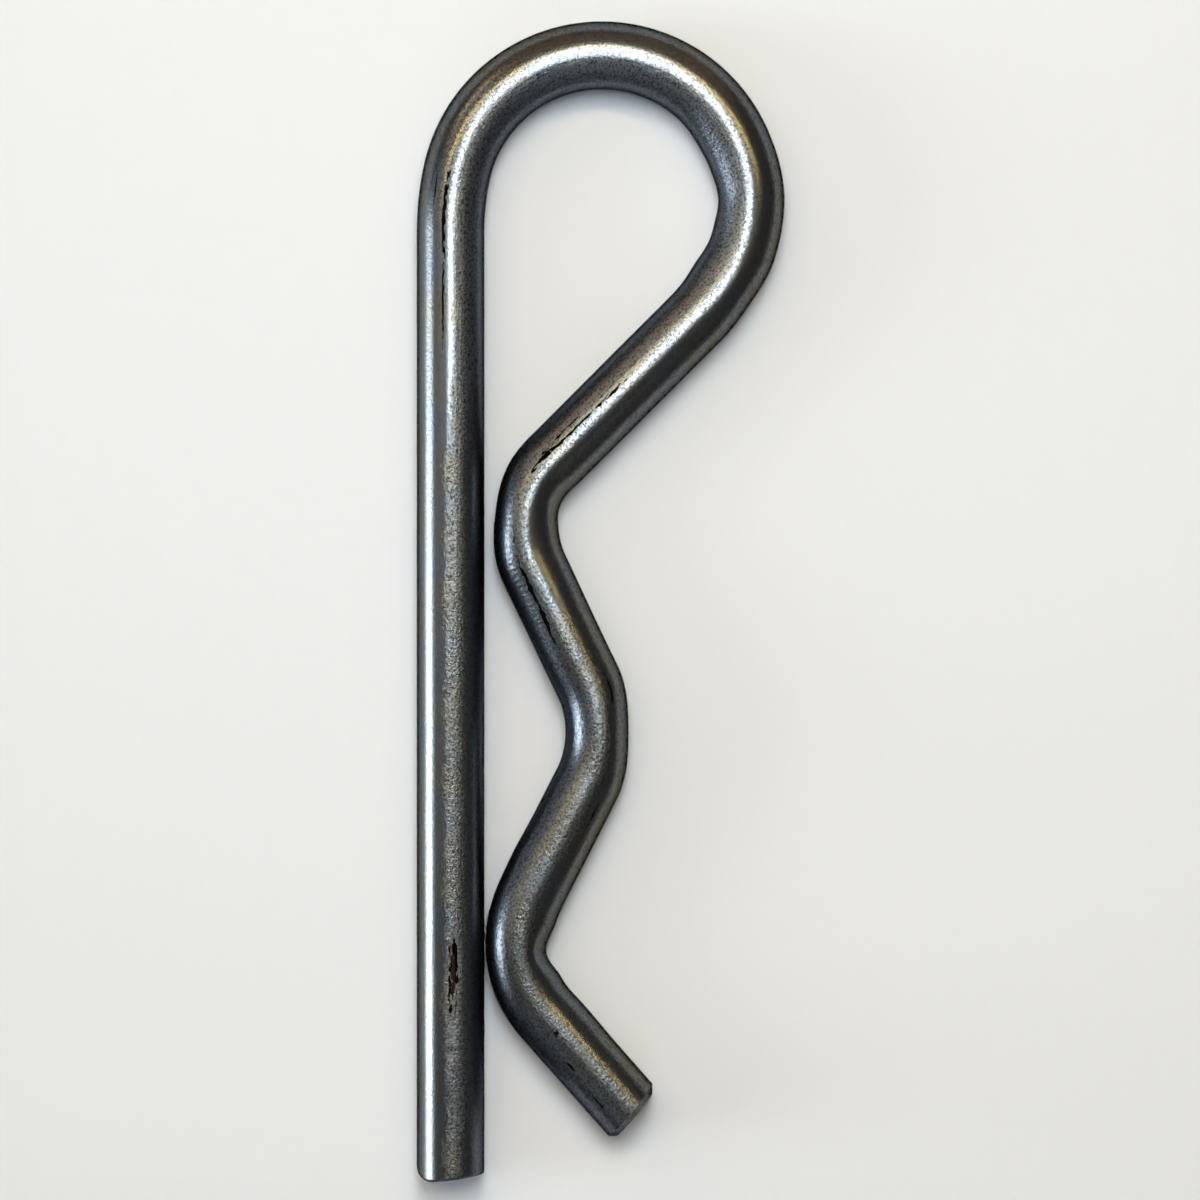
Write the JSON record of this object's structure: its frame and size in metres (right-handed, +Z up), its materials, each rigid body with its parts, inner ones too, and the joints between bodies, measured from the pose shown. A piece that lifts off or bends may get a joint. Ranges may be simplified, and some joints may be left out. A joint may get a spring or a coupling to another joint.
{
  "type": "r clip",
  "caption": "Spring wire R clip that goes through the cross hole of a hitch pin and snaps round the pin to hold it in place.",
  "frame": {"origin": "middle of the clip's outline seen from above, on the surface that it lies on", "axes": "+Z up from the surface that the clip lies on, square to its plane; +Y along the straight leg towards the eye; +X from the straight leg to the bent leg"},
  "size_m": [0.0216, 0.0684, 0.004],
  "materials": {
    "spring_steel": "drawn and bright zinc plated spring steel wire, semi gloss, with fine grain, dark die lines and small pits"
  },
  "bodies": {
    "root": {"r_clip": "spring_steel"}
  },
  "joints": []
}
